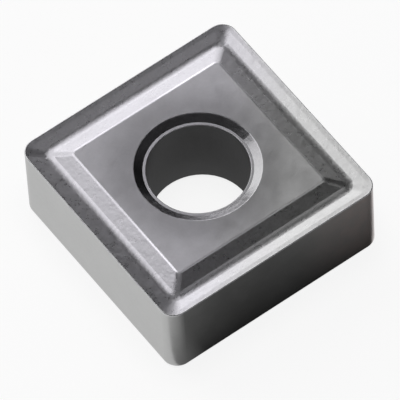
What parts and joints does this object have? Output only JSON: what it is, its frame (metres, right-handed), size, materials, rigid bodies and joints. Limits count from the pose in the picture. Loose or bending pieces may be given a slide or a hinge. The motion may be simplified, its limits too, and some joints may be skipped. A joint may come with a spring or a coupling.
{
  "type": "square carbide turning insert",
  "caption": "Square double-sided carbide cutting insert: straight flanks, rounded noses, chip groove inside each cutting edge, raised seat and through bore.",
  "frame": {"origin": "centre of the lower seat face, on the bore axis", "axes": "+Z along the bore from the lower seat to the upper one; the four flanks face +X, +Y, -X and -Y"},
  "size_m": [0.0126, 0.0126, 0.0049],
  "materials": {
    "carbide": "satin grey, sintered grooves and finely ground seats and flanks"
  },
  "bodies": {
    "root": {"insert": "carbide"}
  },
  "joints": []
}
